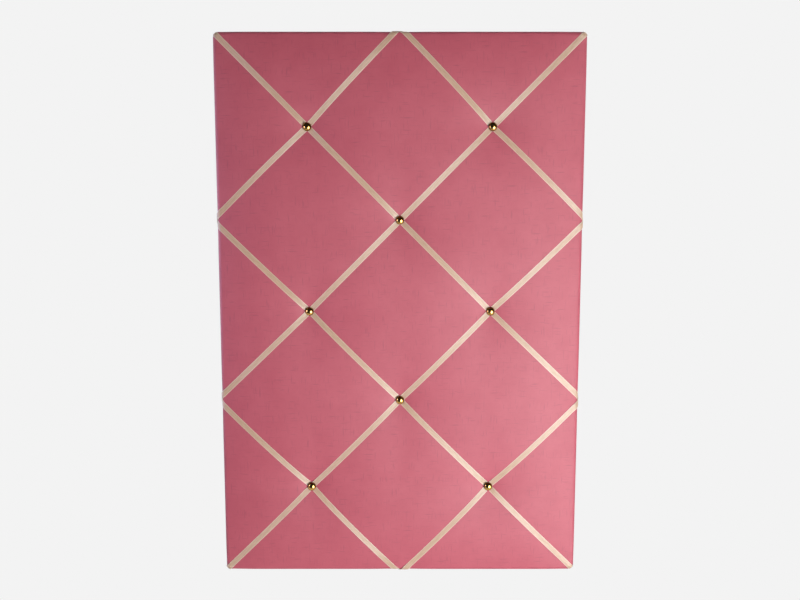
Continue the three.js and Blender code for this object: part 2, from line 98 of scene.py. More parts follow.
surface = add_node(fibreboard, "ShaderNodeBsdfPrincipled", {
    "Base Color": speckled.outputs[2], "Roughness": 0.86, "IOR": 1.45,
    "Normal": relief.outputs["Normal"]})
add_node(fibreboard, "ShaderNodeOutputMaterial", {"Surface": surface.outputs["BSDF"]})

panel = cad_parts["panel"]
panel.data.materials.clear()
panel.data.materials.append(fibreboard)

# Wadding
# A batt of lofted polyester fibre on the panel's face, rolled over at the edges. Nails and ribbons
# draw it in, so between them it swells into soft crowns.

EDGE_ROLL = 3.5 * MM
EDGE_DROP = 5.8 * MM
EDGE_REACH = 28 * MM
CORNER_RADIUS = 6 * MM
HEM_POINT_RADIUS = 0.8 * MM
PAD_ROLL_TURNS = np.radians([30, 60, 90])
CROWN = 13 * MM
NAIL_DIP = 6 * MM
NAIL_DIP_REACH = 25 * MM
NAIL_FLAT = 1 * MM
NAIL_PRESS = 1 * MM
NAIL_PRESS_LENGTH = 14 * MM
NAIL_PRESS_WIDTH = 3 * MM
CHANNEL_DEPTH = 0.8 * MM
CHANNEL_REACH = 14 * MM
SLACK = 1.5 * MM
SLACK_REACH = 20 * MM
CELLS_PER_STEP = 30
NAIL_CLOSENESS = 0.6

STUDS = [f"stud_{number}" for number in range(1, 9)]
nails = []
for stud in STUDS:
    low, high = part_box(stud)
    nails.append(Vector(((low.x + high.x) / 2, (low.z + high.z) / 2)))
step_x = (nails[1].x - nails[0].x) / 2
step_z = nails[0].y - nails[2].y
board_low, board_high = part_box("fabric_cover")
half_x = board_high.x
half_z = board_high.z
steps_across = round(2 * half_x / step_x)
steps_up = round(2 * half_z / step_z)
pad_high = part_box("wadding")[1]
pad_back = pad_high.y
pad_inset = half_x - pad_high.x
face_inset = pad_inset + EDGE_ROLL
face_half_x = half_x - face_inset
face_half_z = half_z - face_inset
face_corner = CORNER_RADIUS - face_inset


def grid_lines(half, steps):
    """Lines across the wadding's face, closer at the nails and where its corners are rounded."""
    middle = half - face_corner
    ends = middle + face_corner * np.array([0.5, 1])
    place = np.linspace(-steps / 2, steps / 2, steps * CELLS_PER_STEP + 1)
    place -= NAIL_CLOSENESS * np.sin(2 * math.pi * place) / (2 * math.pi)
    return np.concatenate([-ends[::-1], place * middle / (steps / 2), ends])


def round_corners(x, z):
    """Draws a grid's square corners in to round ones."""
    over_x = np.clip(np.abs(x) - face_half_x + face_corner, 0, None)
    over_z = np.clip(np.abs(z) - face_half_z + face_corner, 0, None)
    in_x = over_x * (1 - np.sqrt(1 - (over_z / face_corner) ** 2 / 2))
    in_z = over_z * (1 - np.sqrt(1 - (over_x / face_corner) ** 2 / 2))
    return x - np.sign(x) * in_x, z - np.sign(z) * in_z


def off_ribbon(line):
    """How far a lattice line's number is from the nearest ribbon's, from 0 to 1."""
    turn = np.abs(line - 1) % 2
    return np.minimum(turn, 2 - turn)


def ribbon_distance(x, z):
    falling = off_ribbon(x / step_x + z / step_z)
    rising = off_ribbon(z / step_z - x / step_x)
    return np.minimum(falling, rising) / math.hypot(1 / step_x, 1 / step_z)


def inside_share(x, z):
    """From 0 at the face's rim to 1 well inside it."""
    across = 1 - np.exp((np.abs(x) - face_half_x) / EDGE_REACH)
    up = 1 - np.exp((np.abs(z) - face_half_z) / EDGE_REACH)
    return across * up


def pad_loft(x, z):
    off_ribbons = ribbon_distance(x, z)
    drawn = CHANNEL_DEPTH * np.exp(-(off_ribbons / CHANNEL_REACH) ** 2)
    drawn += EDGE_DROP * (1 - inside_share(x, z))
    pressed = NAIL_PRESS * np.exp(-(off_ribbons / NAIL_PRESS_WIDTH) ** 2)
    for nail in nails:
        past_nail = np.clip(np.hypot(x - nail.x, z - nail.y) - NAIL_FLAT, 0, None)
        drawn += NAIL_DIP * np.exp(-past_nail / NAIL_DIP_REACH)
        drawn += pressed * np.exp(-past_nail / NAIL_PRESS_LENGTH)
    return CROWN - drawn


def new_piece(name, vertices, faces, material):
    mesh = bpy.data.meshes.new(name)
    mesh.from_pydata(np.asarray(vertices).tolist(), [], [list(map(int, face)) for face in faces])
    mesh.materials.append(material)
    piece = bpy.data.objects.new(name, mesh)
    bpy.context.scene.collection.objects.link(piece)
    return piece


def grid_faces(rows, columns):
    number = np.arange(rows * columns).reshape(rows, columns)
    corners = [number[:-1, :-1], number[:-1, 1:], number[1:, 1:], number[1:, :-1]]
    return np.stack(corners, axis=-1).reshape(-1, 4)


lines_x = grid_lines(face_half_x, steps_across)
lines_z = grid_lines(face_half_z, steps_up)
face_x, face_z = round_corners(*np.meshgrid(lines_x, lines_z))
face_shape = face_x.shape
face_faces = grid_faces(*face_shape)
number = np.arange(face_x.size).reshape(face_shape)
face_rim = np.concatenate([number[0, :-1], number[:-1, -1], number[-1, :0:-1], number[:0:-1, 0]])
rim_count = len(face_rim)

# The face is swelled by air pressure against its own stretch, held at the rim and at the nails, and
# more lightly along the ribbons. It starts slack between them.
RIM_HOLD = 2 * MM
NAIL_HOLD = 5 * MM
RIBBON_HOLD = 0.35
RIBBON_HOLD_REACH = 4 * MM
SWELL_PRESSURE = 4
SWELL_FRAMES = 20
SWELL_LIMIT = 3 * MM

pad_face = np.stack([face_x, pad_back - pad_loft(face_x, face_z), face_z], axis=-1)
distance = ribbon_distance(face_x, face_z)
slack = SLACK * (1 - np.exp(-(distance / SLACK_REACH) ** 2)) * inside_share(face_x, face_z)
pad_face[..., 1] += slack
hold = RIBBON_HOLD * np.exp(-(distance / RIBBON_HOLD_REACH) ** 2)
for nail in nails:
    hold[np.hypot(face_x - nail.x, face_z - nail.y) < NAIL_HOLD] = 1
hold[np.abs(face_x) > face_half_x - RIM_HOLD] = 1
hold[np.abs(face_z) > face_half_z - RIM_HOLD] = 1
hold = hold.reshape(-1).round(2)
swelling = new_piece("swelling_face", pad_face.reshape(-1, 3), face_faces, fibreboard)
held = swelling.vertex_groups.new(name="held")
for weight in np.unique(hold[hold > 0]):
    held.add(np.flatnonzero(hold == weight).tolist(), float(weight), "REPLACE")
cloth = swelling.modifiers.new("Swell", "CLOTH").settings
cloth.vertex_group_mass = held.name
cloth.use_pressure = True
cloth.uniform_pressure_force = SWELL_PRESSURE
cloth.effector_weights.gravity = 0
for moment in range(1, SWELL_FRAMES + 1):
    bpy.context.scene.frame_set(moment)
swelled = swelling.evaluated_get(bpy.context.evaluated_depsgraph_get()).to_mesh()
points = np.empty(pad_face.size)
swelled.vertices.foreach_get("co", points)
bpy.context.scene.frame_set(1)
bpy.data.objects.remove(swelling)
move = points.reshape(pad_face.shape) - pad_face
length = np.linalg.norm(move, axis=-1, keepdims=True)
pad_face += move * np.minimum(1, SWELL_LIMIT / np.maximum(length, 1e-9))


def rim_at(inset, depth):
    """The rim's points drawn in from the board's outline by a distance, at a depth."""
    rim_x = face_x.reshape(-1)[face_rim]
    rim_z = face_z.reshape(-1)[face_rim]
    radius = max(CORNER_RADIUS - inset, HEM_POINT_RADIUS)
    past_x = np.clip(np.abs(rim_x) - (half_x - CORNER_RADIUS), 0, None)
    past_z = np.clip(np.abs(rim_z) - (half_z - CORNER_RADIUS), 0, None)
    turn = np.arctan2(past_z, past_x)
    share_x = np.clip(rim_x / (half_x - CORNER_RADIUS), -1, 1)
    share_z = np.clip(rim_z / (half_z - CORNER_RADIUS), -1, 1)
    x = share_x * (half_x - inset - radius) + np.sign(rim_x) * radius * np.cos(turn) * (past_x > 0)
    z = share_z * (half_z - inset - radius) + np.sign(rim_z) * radius * np.sin(turn) * (past_z > 0)
    return np.stack([x, np.broadcast_to(depth, x.shape), z], axis=-1)


def carry_on(face, rings):
    """A face's points and faces with rings of points added outside its rim, and the last ring."""
    points = [face.reshape(-1, 3), *rings]
    faces = [list(corners) for corners in face_faces]
    inner = face_rim
    for row in range(len(rings)):
        outer = np.arange(rim_count) + face_x.size + row * rim_count
        next_inner = np.roll(inner, -1)
        next_outer = np.roll(outer, -1)
        faces += np.stack([inner, outer, next_outer, next_inner], axis=-1).tolist()
        inner = outer
    return np.concatenate(points), faces, inner


# Crimped white fibre, matt and slightly see-through at its surface: a pale ground with a fine tangle.
lofted_polyester = new_material("lofted_polyester_wadding")
TANGLE_SIZE = 2.5 * MM
place = add_node(lofted_polyester, "ShaderNodeTexCoord", {})
tangle = add_node(lofted_polyester, "ShaderNodeTexNoise", {
    "Vector": place.outputs["Object"], "Scale": 1 / TANGLE_SIZE, "Detail": 6, "Distortion": 1.5})
shade = add_node(lofted_polyester, "ShaderNodeMix", {
    0: tangle.outputs["Fac"], 6: linear("#DCDAD3"), 7: linear("#FAF9F5")}, data_type="RGBA")
relief = add_node(lofted_polyester, "ShaderNodeBump", {
    "Height": tangle.outputs["Fac"], "Strength": 0.6, "Distance": 0.6 * MM})
surface = add_node(lofted_polyester, "ShaderNodeBsdfPrincipled", {
    "Base Color": shade.outputs[2], "Roughness": 1, "Sheen Weight": 0.3,
    "Normal": relief.outputs["Normal"]})
add_node(lofted_polyester, "ShaderNodeOutputMaterial", {"Surface": surface.outputs["BSDF"]})

rim_depth = pad_face.reshape(-1, 3)[face_rim, 1]
pad_rings = []
for turn in PAD_ROLL_TURNS:
    roll_inset = pad_inset + EDGE_ROLL * (1 - math.sin(turn))
    pad_rings.append(rim_at(roll_inset, rim_depth + EDGE_ROLL * (1 - math.cos(turn))))
pad_rings.append(rim_at(pad_inset, pad_back))
pad_points, pad_faces, back_ring = carry_on(pad_face, pad_rings)
wadding = new_piece("wadding_batt", pad_points, pad_faces + [back_ring.tolist()], lofted_polyester)
wadding.data.shade_smooth()
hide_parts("wadding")
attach(wadding, "board")

# Cotton cover
# One piece of pink plain-weave cotton, stretched over the wadding, turned round the board's edges and
# stapled to the back as a hem with mitred corners.

CLOTH_THICKNESS = 0.6 * MM
CLOTH_ROLL = EDGE_ROLL + pad_inset
ROLL_TURNS = np.radians([22.5, 45, 67.5, 90])
HEM_WIDTH = 30 * MM
HEM_ROWS = 10
MITRE_DEPTH = 0.3 * MM
hem_y = board_high.y

# How the cloth turns over the panel's back edge: how far in from the side, and how far back.
BEND_START = -1 * MM
EDGE_TURN = [
    (0, -10 * MM), (0, -5 * MM), (0, BEND_START), (0.08 * MM, -0.2 * MM), (0.35 * MM, 0.35 * MM),
    (1.0 * MM, hem_y),
]


def face_normals(points):
    """Each point's direction off the padded face, as the mean of the faces round it."""
    corners = points.reshape(-1, 3)[face_faces]
    crossed = np.cross(corners[:, 2] - corners[:, 0], corners[:, 3] - corners[:, 1])
    normal = np.zeros((face_x.size, 3))
    for corner in range(4):
        np.add.at(normal, face_faces[:, corner], crossed)
    normal /= np.linalg.norm(normal, axis=1, keepdims=True)
    return normal.reshape(points.shape)


cover_face = pad_face + face_normals(pad_face) * pad_inset
rim_depth = cover_face.reshape(-1, 3)[face_rim, 1]
cover_rings = []
for turn in ROLL_TURNS:
    cover_rings.append(rim_at(
        CLOTH_ROLL * (1 - math.sin(turn)), rim_depth + CLOTH_ROLL * (1 - math.cos(turn))))
for inset, depth in EDGE_TURN:
    cover_rings.append(rim_at(inset, depth))
mitre = np.isin(face_rim, number[[0, 0, -1, -1], [0, -1, 0, -1]])
for inset in np.linspace(EDGE_TURN[-1][0], HEM_WIDTH, HEM_ROWS)[1:]:
    ring = rim_at(inset, hem_y)
    ring[mitre, 1] -= MITRE_DEPTH
    cover_rings.append(ring)
cover_points, cover_faces = carry_on(cover_face, cover_rings)[:2]

# The cloth's own flat measure, in metres, for its weave: past the edges it follows the turn.
flat_measure = [cover_face.reshape(-1, 3)[:, [0, 2]]]
before = cover_points[face_rim]
rim_flat = before[:, [0, 2]]
beside = np.abs(rim_flat[:, 0]) - half_x > np.abs(rim_flat[:, 1]) - half_z
turned = np.zeros(rim_count)
for ring in cover_rings:
    turned += np.linalg.norm(ring - before, axis=1)
    outward = rim_flat + np.sign(rim_flat) * turned[:, None]
    flat_measure.append(np.where(
        np.stack([beside, ~beside], axis=-1), outward, ring[:, [0, 2]]))
    before = ring
flat_measure = np.concatenate(flat_measure)

# Plain-weave cotton: matt, a little fuzzy at grazing light, with thicker slubs in both threads and a
# faint cloudiness in the dye. The threads are drawn at twice their real spacing, so that they show.
pink_cotton = new_material("plain_weave_cotton")
THREAD_SPACING = 0.9 * MM
SLUB_LENGTH = 14 * MM
SLUB_WIDTH = 1.6 * MM
CLOUD_SIZE = 30 * MM
weave_map = add_node(pink_cotton, "ShaderNodeUVMap", {}, uv_map="flat_measure")
threads = []
for direction in ("X", "Y"):
    threads.append(add_node(pink_cotton, "ShaderNodeTexWave", {
        "Vector": weave_map.outputs["UV"], "Scale": math.pi / 10 / THREAD_SPACING, "Distortion": 0.6,
        "Detail": 1, "Detail Scale": 2}, bands_direction=direction))
weave = add_node(pink_cotton, "ShaderNodeMath", {
    0: threads[0].outputs["Fac"], 1: threads[1].outputs["Fac"]}, operation="MAXIMUM")
slubs = []
for scale in ((1 / SLUB_LENGTH, 1 / SLUB_WIDTH, 1), (1 / SLUB_WIDTH, 1 / SLUB_LENGTH, 1)):
    stretched = add_node(pink_cotton, "ShaderNodeMapping", {
        "Vector": weave_map.outputs["UV"], "Scale": scale})
    streaks = add_node(pink_cotton, "ShaderNodeTexNoise", {
        "Vector": stretched.outputs["Vector"], "Scale": 1, "Detail": 1, "Roughness": 0.4})
    slubs.append(add_node(pink_cotton, "ShaderNodeMapRange", {
        "Value": streaks.outputs["Fac"], "From Min": 0.62, "From Max": 0.8, "To Max": 0.72}))
slub = add_node(pink_cotton, "ShaderNodeMath", {
    0: slubs[0].outputs["Result"], 1: slubs[1].outputs["Result"]}, operation="MAXIMUM")
clouds = add_node(pink_cotton, "ShaderNodeTexNoise", {
    "Vector": weave_map.outputs["UV"], "Scale": 1 / CLOUD_SIZE, "Detail": 4, "Roughness": 0.7})
dyed = add_node(pink_cotton, "ShaderNodeMix", {
    0: clouds.outputs["Fac"], 6: linear("#B94A5C"), 7: linear("#CA5F6F")}, data_type="RGBA")
streaked = add_node(pink_cotton, "ShaderNodeMix", {
    0: slub.outputs["Value"], 6: dyed.outputs[2], 7: linear("#A9485A")}, data_type="RGBA")
fine_relief = add_node(pink_cotton, "ShaderNodeBump", {
    "Height": weave.outputs["Value"], "Strength": 0.25, "Distance": 0.1 * MM})
slub_relief = add_node(pink_cotton, "ShaderNodeBump", {
    "Height": slub.outputs["Value"], "Strength": 0.3, "Distance": 0.15 * MM,
    "Normal": fine_relief.outputs["Normal"]})
surface = add_node(pink_cotton, "ShaderNodeBsdfPrincipled", {
    "Base Color": streaked.outputs[2], "Roughness": 0.58, "IOR": 1.5, "Specular IOR Level": 0.78,
    "Sheen Weight": 0.06, "Sheen Roughness": 0.5, "Normal": slub_relief.outputs["Normal"]})
add_node(pink_cotton, "ShaderNodeOutputMaterial", {"Surface": surface.outputs["BSDF"]})


def add_uv(piece, name, places):
    """Gives a piece a UV map from one place for each of its vertices."""
    layer = piece.data.uv_layers.new(name=name)
    corners = np.empty(len(piece.data.loops), dtype=int)
    piece.data.loops.foreach_get("vertex_index", corners)
    layer.data.foreach_set("uv", np.asarray(places)[corners].reshape(-1))


def deselect():
    bpy.ops.object.select_all(action="DESELECT")


def apply_modifiers(piece):
    deselect()
    piece.select_set(True)
    bpy.context.view_layer.objects.active = piece
    for modifier in list(piece.modifiers):
        bpy.ops.object.modifier_apply(modifier=modifier.name)


cover = new_piece("cotton_cover", cover_points, cover_faces, pink_cotton)
add_uv(cover, "flat_measure", flat_measure)
wall = cover.modifiers.new("Cloth wall", "SOLIDIFY")
wall.thickness = CLOTH_THICKNESS
wall.offset = -1
apply_modifiers(cover)
cover.data.shade_smooth()
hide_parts("fabric_cover")
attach(cover, "board")

# Ribbons
# Narrow ivory satin with woven selvedges, laid taut over the padded face along the lattice. Each end
# folds over the board's edge and is stapled to the hem. Rising ribbons lie over falling ones.

RIBBON_WIDTH = 6 * MM
RIBBON_THICKNESS = 0.4 * MM
RIBBON_LIFT = 0.1 * MM
OVER_LIFT = 0.75 * MM
OVER_REACH = 9 * MM
TAIL_LIFTS = {-1: 0.2 * MM, 1: 0.8 * MM}
TAIL_REACH = 21 * MM
TAIL_ROWS = 8
TAIL_STRAIGHTENS = 8 * MM
ROW_SPACING = 2 * MM
LEAN_REACH = 30 * MM
RIM_MARGIN = 0.3 * MM
AT_EDGE = 1 * MM
IN_FRONT = -1
RIBBON_PLACES = np.array([-1, -0.94, -0.86, -0.8, -0.4, 0, 0.4, 0.8, 0.86, 0.94, 1])

half_ribbon = RIBBON_WIDTH / 2
lattice_u = steps_across // 2
lattice_v = steps_up // 2
ribbon_inset = CLOTH_ROLL + RIM_MARGIN
cover_tree = BVHTree.FromObject(cover, bpy.context.evaluated_depsgraph_get())


def face_depth(point):
    """How far back the cloth's face lies at a place in plan."""
    return cover_tree.ray_cast(Vector((point.x, IN_FRONT, point.y)), Vector((0, 1, 0)))[0].y


def ribbon_run(line, slope):
    """A ribbon's points in plan, from edge to edge through its nails."""
    first = max(-lattice_u, -lattice_v - line if slope > 0 else line - lattice_v)
    last = min(lattice_u, lattice_v - line if slope > 0 else line + lattice_v)
    return [Vector((u * step_x, (line + slope * u) * step_z)) for u in range(first, last + 1)]


def corner_rows(end, inner):
    """Rows over a rounded corner: they follow its curve, then come straight back on the hem."""
    heading = (end - inner).normalized()
    across = Vector((-heading.y, heading.x))
    middle = end - Vector([math.copysign(CORNER_RADIUS, share) for share in end])

    def row(inset, turned, back=0):
        radius = CORNER_RADIUS - inset
        points = []
        for place in RIBBON_PLACES * half_ribbon:
            if abs(place) < radius * math.sqrt(0.5):
                reach = math.sqrt(radius ** 2 - place ** 2)
            else:
                reach = radius * math.sqrt(2) - abs(place)
            if back:
                straight = min(1, back / TAIL_STRAIGHTENS)
                reach += straight * (math.sqrt(radius ** 2 - half_ribbon ** 2) - reach)
            points.append(middle + across * place + heading * (reach - back))
        return points

    return row


def side_rows(end, inner):
    """Rows over a straight edge: they lie along it, and the ribbon drifts on as it was heading.
    Where two ribbons meet in a V, each is moved over by half its own cut."""
    out = 0 if abs(end.x) > half_x - AT_EDGE else 1
    along = 1 - out
    end[along] -= math.copysign(math.sqrt(2) * half_ribbon, (end - inner)[along])
    step = end - inner
    drift = step[along] / abs(step[out])
    half_cut = half_ribbon * math.hypot(1, drift)
    left = math.copysign(1, step[out] if along else -step[out])

    def row(inset, turned, back=0):
        points = []
        for place in RIBBON_PLACES * half_cut * left:
            point = Vector((0, 0))
            point[out] = math.copysign((half_x, half_z)[out] - inset - back, end[out])
            point[along] = end[along] + drift * (turned + back) + place
            points.append(point)
        return points

    return row


def end_rows(end, inner):
    at_corner = abs(end.x) > half_x - AT_EDGE and abs(end.y) > half_z - AT_EDGE
    return corner_rows(end, inner) if at_corner else side_rows(end, inner)


def tail_points(row, lift):
    """The rows of a ribbon's fold and tail, from the face's rim to its cut end on the hem."""
    rim = [face_depth(point) for point in row(ribbon_inset, -ribbon_inset)]
    rows = []
    for turn in ROLL_TURNS:
        inset = CLOTH_ROLL - (CLOTH_ROLL + lift) * math.sin(turn)
        rise = CLOTH_ROLL - (CLOTH_ROLL + lift) * math.cos(turn)
        plan = row(inset, CLOTH_ROLL * (turn - 1))
        rows.append([(point.x, depth + rise, point.y) for point, depth in zip(plan, rim)])
    turned = CLOTH_ROLL * (ROLL_TURNS[-1] - 1)
    depth_before = np.mean(rim) + CLOTH_ROLL
    for inset, depth in EDGE_TURN:
        turned += depth - depth_before
        depth_before = depth
        outward = lift * min(1, (hem_y - depth) / (hem_y - BEND_START))
        backward = lift - outward
        plan = row(inset - outward, turned)
        rows.append([(point.x, depth + backward, point.y) for point in plan])
    for back in np.linspace(0, TAIL_REACH - inset, TAIL_ROWS)[1:]:
        plan = row(inset, turned, back)
        rows.append([(point.x, hem_y + lift, point.y) for point in plan])
    return rows


def lean_of(row, heading):
    """The middle of the row at the face's rim, and how far ahead of it each place lies."""
    rim = row(ribbon_inset, -ribbon_inset)
    middle = rim[len(rim) // 2]
    return middle, np.array([(point - middle).dot(heading) for point in rim])


def ribbon_rows(line, slope):
    run = ribbon_run(line, slope)
    crossings = list(run)
    start_row = end_rows(run[0], run[1])
    finish_row = end_rows(run[-1], run[-2])
    run[0], start_lean = lean_of(start_row, (run[1] - run[0]).normalized())
    run[-1], finish_lean = lean_of(finish_row, (run[-1] - run[-2]).normalized())
    lengths = [(after - before).length for before, after in zip(run, run[1:])]
    total = sum(lengths)
    over = OVER_LIFT - RIBBON_LIFT if slope > 0 else 0
    rows = []
    for place in np.linspace(0, total, round(total / ROW_SPACING)):
        leg = 0
        rest = place
        while leg < len(lengths) - 1 and rest > lengths[leg]:
            rest -= lengths[leg]
            leg += 1
        heading = (run[leg + 1] - run[leg]).normalized()
        across = Vector((-heading.y, heading.x))
        centre = run[leg] + heading * rest
        lean = (start_lean[::-1] * max(0, 1 - place / LEAN_REACH)
                + finish_lean * max(0, 1 - (total - place) / LEAN_REACH))
        nearest = min((centre - crossing).length for crossing in crossings)
        lift = RIBBON_LIFT + over * math.exp(-(nearest / OVER_REACH) ** 4)
        row = []
        for share, ahead in zip(RIBBON_PLACES, lean):
            point = centre + across * share * half_ribbon + heading * ahead
            row.append((point.x, face_depth(point) - lift, point.y))
        rows.append(row)
    start_tail, finish_tail = [tail_points(row, TAIL_LIFTS[slope]) for row in (start_row, finish_row)]
    return [row[::-1] for row in start_tail[::-1]] + rows + finish_tail


# Satin: long floats of filament that shine along their slope, with faint streaks along the ribbon, a
# faint rib across it and paler woven selvedges. Streaks and rib are drawn coarser than the real
# filaments of about 0.2 mm, so that they show.
ivory_satin = new_material("ivory_satin_ribbon")
RIB_SPACING = 0.8 * MM
FLOAT_WIDTH = 1.1 * MM
FLOAT_LENGTH = 9 * MM
SELVEDGE_WIDTH = 0.75 * MM
ribbon_map = add_node(ivory_satin, "ShaderNodeUVMap", {}, uv_map="ribbon_measure")
ribs = add_node(ivory_satin, "ShaderNodeTexWave", {
    "Vector": ribbon_map.outputs["UV"], "Scale": math.pi / 10 / RIB_SPACING, "Distortion": 0.4},
    bands_direction="Y")
lengthwise = add_node(ivory_satin, "ShaderNodeMapping", {
    "Vector": ribbon_map.outputs["UV"], "Scale": (1 / FLOAT_WIDTH, 1 / FLOAT_LENGTH, 1)})
streaks = add_node(ivory_satin, "ShaderNodeTexNoise", {
    "Vector": lengthwise.outputs["Vector"], "Scale": 1, "Detail": 2, "Roughness": 0.6})
streak_share = add_node(ivory_satin, "ShaderNodeMapRange", {
    "Value": streaks.outputs["Fac"], "From Min": 0.25, "From Max": 0.75})
measure = add_node(ivory_satin, "ShaderNodeSeparateXYZ", {"Vector": ribbon_map.outputs["UV"]})
off_middle = add_node(ivory_satin, "ShaderNodeMath", {
    0: measure.outputs["X"]}, operation="ABSOLUTE")
selvedge = add_node(ivory_satin, "ShaderNodeMapRange", {
    "Value": off_middle.outputs["Value"], "From Min": half_ribbon - SELVEDGE_WIDTH,
    "From Max": half_ribbon - 0.6 * SELVEDGE_WIDTH})
floats = add_node(ivory_satin, "ShaderNodeMix", {
    0: streak_share.outputs["Result"], 6: linear("#C5A184"), 7: linear("#DABB9F")}, data_type="RGBA")
bordered = add_node(ivory_satin, "ShaderNodeMix", {
    0: selvedge.outputs["Result"], 6: floats.outputs[2], 7: linear("#E2CEBA")}, data_type="RGBA")
relief = add_node(ivory_satin, "ShaderNodeBump", {
    "Height": ribs.outputs["Fac"], "Strength": 0.2, "Distance": 0.05 * MM})
grain = add_node(
    ivory_satin, "ShaderNodeTangent", {}, direction_type="UV_MAP", uv_map="ribbon_measure")
surface = add_node(ivory_satin, "ShaderNodeBsdfPrincipled", {
    "Base Color": bordered.outputs[2], "Roughness": 0.5, "IOR": 1.8, "Specular IOR Level": 0.63,
    "Anisotropic": 0.85, "Tangent": grain.outputs["Tangent"], "Normal": relief.outputs["Normal"]})
add_node(ivory_satin, "ShaderNodeOutputMaterial", {"Surface": surface.outputs["BSDF"]})

lattice_limit = lattice_u + lattice_v - 2
for number, line in enumerate(range(lattice_limit, -lattice_limit - 1, -2), start=1):
    for kind, slope in (("falling", -1), ("rising", 1)):
        rows = np.array(ribbon_rows(line, slope))
        row_count, column_count = rows.shape[:2]
        middle = rows[:, column_count // 2]
        along = np.concatenate([[0], np.cumsum(np.linalg.norm(np.diff(middle, axis=0), axis=1))])
        across = RIBBON_PLACES * half_ribbon
        places = np.stack(np.broadcast_arrays(across[None, :], along[:, None]), axis=-1)
        ribbon = new_piece(
            f"satin_ribbon_{kind}_{number}", rows.reshape(-1, 3),
            grid_faces(row_count, column_count), ivory_satin)
        add_uv(ribbon, "ribbon_measure", places.reshape(-1, 2))
        wall = ribbon.modifiers.new("Ribbon wall", "SOLIDIFY")
        wall.thickness = RIBBON_THICKNESS
        wall.offset = 1
        apply_modifiers(ribbon)
        ribbon.data.shade_smooth()
        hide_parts(f"ribbon_{kind}_{number}")
        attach(ribbon, "board")

# Nails
# Upholstery nails: a dome pressed from thin brass, open underneath, on a pointed shank.
# One is driven through each crossing, so that its rim pins both ribbons and draws the padding in.

HEAD_RADIUS = 4.75 * MM
HEAD_HEIGHT = 3.8 * MM
HEAD_RIM = 0.6 * MM
HEAD_SHEET = 0.5 * MM
SHANK_RADIUS = 0.75 * MM
POINT_LENGTH = 3 * MM
# Where the painted shade round the nail's rim begins and where it is full, measured off the nail's
# axis.
RIM_SHADE_START = 0.8 * HEAD_RADIUS
RIM_SHADE_FULL = 0.95 * HEAD_RADIUS


def draw_ring(width, shift):
    """Extrudes the selected ring round the Y axis, scales it and moves it along Y."""
    bpy.ops.mesh.extrude_edges_move()
    bpy.ops.transform.resize(value=(width, 1, width))
    bpy.ops.transform.translate(value=(0, shift, 0))


# Polished brass: a warm yellow mirror, with faint rub marks and a little dullness. Towards the rim it
# is painted a dark brown. This is painted shade, so that the rim's reflection comes out dark.
polished_brass = new_material("polished_brass")
RUB_SIZE = 1.5 * MM
place = add_node(polished_brass, "ShaderNodeTexCoord", {})
rubs = add_node(polished_brass, "ShaderNodeTexNoise", {
    "Vector": place.outputs["Object"], "Scale": 1 / RUB_SIZE, "Detail": 5, "Roughness": 0.6})
dullness = add_node(polished_brass, "ShaderNodeMapRange", {
    "Value": rubs.outputs["Fac"], "From Min": 0.3, "From Max": 0.8, "To Min": 0.05, "To Max": 0.12})
rubbed = add_node(polished_brass, "ShaderNodeMix", {
    0: rubs.outputs["Fac"], 6: linear("#D6B06A"), 7: linear("#C79C50")}, data_type="RGBA")
off_axis = add_node(polished_brass, "ShaderNodeAttribute", {}, attribute_name="off_axis")
at_rim = add_node(polished_brass, "ShaderNodeMapRange", {
    "Value": off_axis.outputs["Fac"], "From Min": RIM_SHADE_START, "From Max": RIM_SHADE_FULL})
# Painted shade: the brass turns dark brown towards the rim.
painted_rim_shade = add_node(polished_brass, "ShaderNodeMix", {
    0: at_rim.outputs["Result"], 6: rubbed.outputs[2], 7: linear("#6E4F22")}, data_type="RGBA")
surface = add_node(polished_brass, "ShaderNodeBsdfPrincipled", {
    "Base Color": painted_rim_shade.outputs[2], "Metallic": 1, "Roughness": dullness.outputs["Result"]})
add_node(polished_brass, "ShaderNodeOutputMaterial", {"Surface": surface.outputs["BSDF"]})

deselect()
bpy.ops.mesh.primitive_uv_sphere_add(segments=48, ring_count=28, radius=HEAD_RADIUS)
first_nail = bpy.context.object
first_nail.data.transform(Matrix.Rotation(math.pi / 2, 4, "X"))
bpy.ops.object.mode_set(mode="EDIT")
bpy.ops.mesh.select_all(action="SELECT")
bpy.ops.transform.resize(value=(1, (HEAD_HEIGHT - HEAD_RIM) / HEAD_RADIUS, 1))
bpy.ops.mesh.bisect(plane_co=(0, 0, 0), plane_no=(0, 1, 0), clear_outer=True)

# The section behind the dome, as each ring's radius and depth: the straight rim, its eased lip, the
# hollow underneath, and the shank down to its point.
low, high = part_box(STUDS[0])
shank_end = high.y - (low.y + HEAD_HEIGHT - HEAD_RIM)
inner_radius = HEAD_RADIUS - HEAD_SHEET
inner_lip = HEAD_RIM + 0.25 * HEAD_SHEET
hollow = HEAD_HEIGHT - HEAD_SHEET
nail_section = [
    (HEAD_RADIUS, HEAD_RIM),
    (HEAD_RADIUS - 0.3 * HEAD_SHEET, HEAD_RIM + 0.35 * HEAD_SHEET),
    (inner_radius, inner_lip),
    (0.8 * inner_radius, inner_lip - 0.5 * hollow),
    (SHANK_RADIUS, inner_lip - 0.85 * hollow),
    (SHANK_RADIUS, shank_end - POINT_LENGTH),
    (0.05 * SHANK_RADIUS, shank_end),
]
radius_before, depth_before = HEAD_RADIUS, 0
for radius, depth in nail_section:
    draw_ring(radius / radius_before, depth - depth_before)
    radius_before, depth_before = radius, depth
bpy.ops.mesh.edge_face_add()
bpy.ops.mesh.select_all(action="SELECT")
bpy.ops.mesh.normals_make_consistent(inside=False)
bpy.ops.object.mode_set(mode="OBJECT")
radii = [math.hypot(point.co.x, point.co.z) for point in first_nail.data.vertices]
first_nail.data.attributes.new("off_axis", "FLOAT", "POINT").data.foreach_set("value", radii)
first_nail.data.materials.append(polished_brass)
first_nail.data.shade_smooth()
